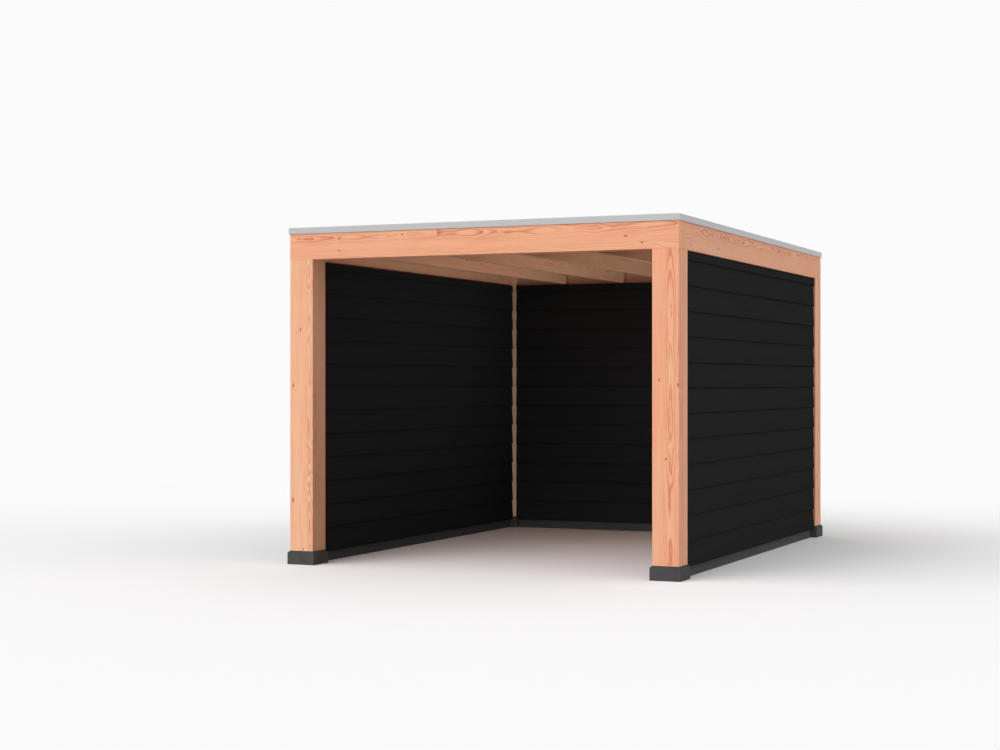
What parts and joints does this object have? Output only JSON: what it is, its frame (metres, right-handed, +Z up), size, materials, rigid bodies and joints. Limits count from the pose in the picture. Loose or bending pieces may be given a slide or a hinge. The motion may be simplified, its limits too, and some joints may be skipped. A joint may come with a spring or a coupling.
{
  "type": "wooden patio cover",
  "caption": "Flat-roofed timber patio cover on square posts, open at the front, with black lapped boarding on the back and both sides.",
  "frame": {"origin": "on the ground, at the centre of the plan", "axes": "+X to the right seen from the open front, +Y from the open front towards the back wall, +Z up"},
  "size_m": [3.02, 4.03, 2.47],
  "materials": {
    "timber": "planed, untreated reddish softwood with dark knots",
    "frame_timber": "sawn softwood",
    "black_boards": "sawn boards, matt black stain",
    "roof_boards": "planed softwood boards",
    "concrete": "dark grey cast concrete",
    "aluminium": "mill finish",
    "roof_rubber": "matt black sheet"
  },
  "bodies": {
    "root": {"foot_front_left": "concrete", "foot_front_right": "concrete", "foot_back_left": "concrete", "foot_back_right": "concrete", "post_front_left": "timber", "post_front_right": "timber", "post_back_left": "timber", "post_back_right": "timber", "beam_front": "timber", "beam_back": "timber", "beam_left": "timber", "beam_right": "timber", "joist_1": "timber", "joist_2": "timber", "joist_3": "timber", "joist_4": "timber", "plinth_left": "concrete", "plinth_right": "concrete", "plinth_back": "concrete", "wall_frame_left": "frame_timber", "wall_frame_right": "frame_timber", "wall_frame_back": "frame_timber", "boards_left_outside": "black_boards", "boards_left_inside": "black_boards", "boards_right_outside": "black_boards", "boards_right_inside": "black_boards", "boards_back_outside": "black_boards", "boards_back_inside": "black_boards", "roof_deck": "roof_boards", "roof_sheet": "roof_rubber", "trim_front": "aluminium", "trim_back": "aluminium", "trim_left": "aluminium", "trim_right": "aluminium"}
  },
  "joints": []
}
